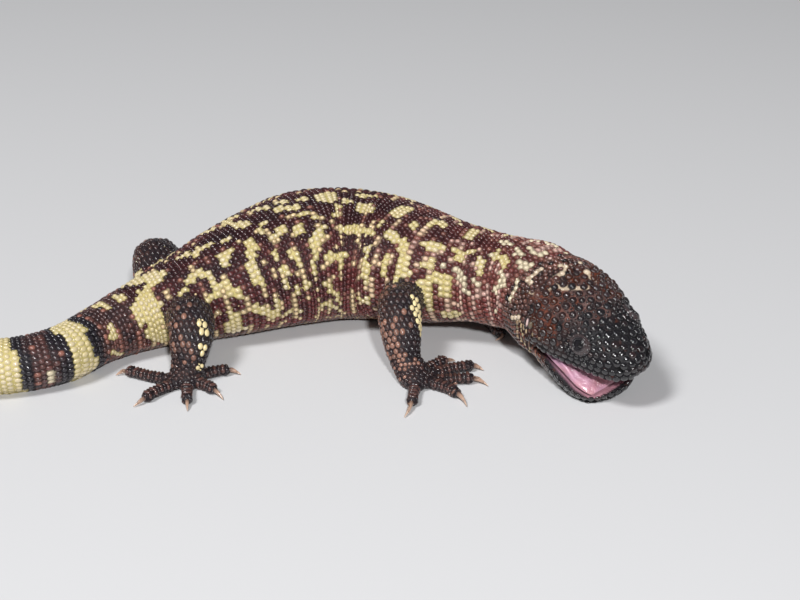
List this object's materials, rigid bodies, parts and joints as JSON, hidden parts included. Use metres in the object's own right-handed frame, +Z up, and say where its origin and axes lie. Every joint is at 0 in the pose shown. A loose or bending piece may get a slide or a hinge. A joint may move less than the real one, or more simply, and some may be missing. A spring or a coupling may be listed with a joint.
{
  "type": "beaded lizard model",
  "caption": "Life-size still model of a young Rio Fuerte beaded lizard lying on its belly, trunk bowed, head turned, jaws parted, with raised bead scales and a fat tail.",
  "frame": {"origin": "middle of the bounding box, on the floor that the belly and feet rest on", "axes": "+X towards the head end along the body's longest reach, +Y to the animal's left, +Z up"},
  "size_m": [0.2732, 0.1082, 0.0391],
  "materials": {
    "body_scales": "satin bead scales, brown-black with cream-yellow marks",
    "head_scales": "glossy dark bead scales",
    "leg_scales": "satin dark bead scales",
    "mouth_tissue": "moist pink tissue",
    "eye": "glossy black eyeball",
    "claw": "smooth horn, darker at the tip"
  },
  "bodies": {
    "root": {"head": "head_scales", "lower_jaw": "head_scales", "mouth_lining": "mouth_tissue", "eye_right": "eye", "eye_left": "eye", "neck": "body_scales", "torso_front": "body_scales", "torso_rear": "body_scales", "tail_base": "body_scales", "tail_middle": "body_scales", "tail_tip": "body_scales", "foreleg_right_upper": "leg_scales", "foreleg_right_lower": "leg_scales", "foreleg_right_foot": "leg_scales", "foreleg_right_claw_1": "claw", "foreleg_right_claw_2": "claw", "foreleg_right_claw_3": "claw", "foreleg_right_claw_4": "claw", "foreleg_right_claw_5": "claw", "foreleg_left_upper": "leg_scales", "foreleg_left_lower": "leg_scales", "foreleg_left_foot": "leg_scales", "foreleg_left_claw_1": "claw", "foreleg_left_claw_2": "claw", "foreleg_left_claw_3": "claw", "foreleg_left_claw_4": "claw", "foreleg_left_claw_5": "claw", "hindleg_right_upper": "leg_scales", "hindleg_right_lower": "leg_scales", "hindleg_right_foot": "leg_scales", "hindleg_right_claw_1": "claw", "hindleg_right_claw_2": "claw", "hindleg_right_claw_3": "claw", "hindleg_right_claw_4": "claw", "hindleg_right_claw_5": "claw", "hindleg_left_upper": "leg_scales", "hindleg_left_lower": "leg_scales", "hindleg_left_foot": "leg_scales", "hindleg_left_claw_1": "claw", "hindleg_left_claw_2": "claw", "hindleg_left_claw_3": "claw", "hindleg_left_claw_4": "claw", "hindleg_left_claw_5": "claw"}
  },
  "joints": []
}
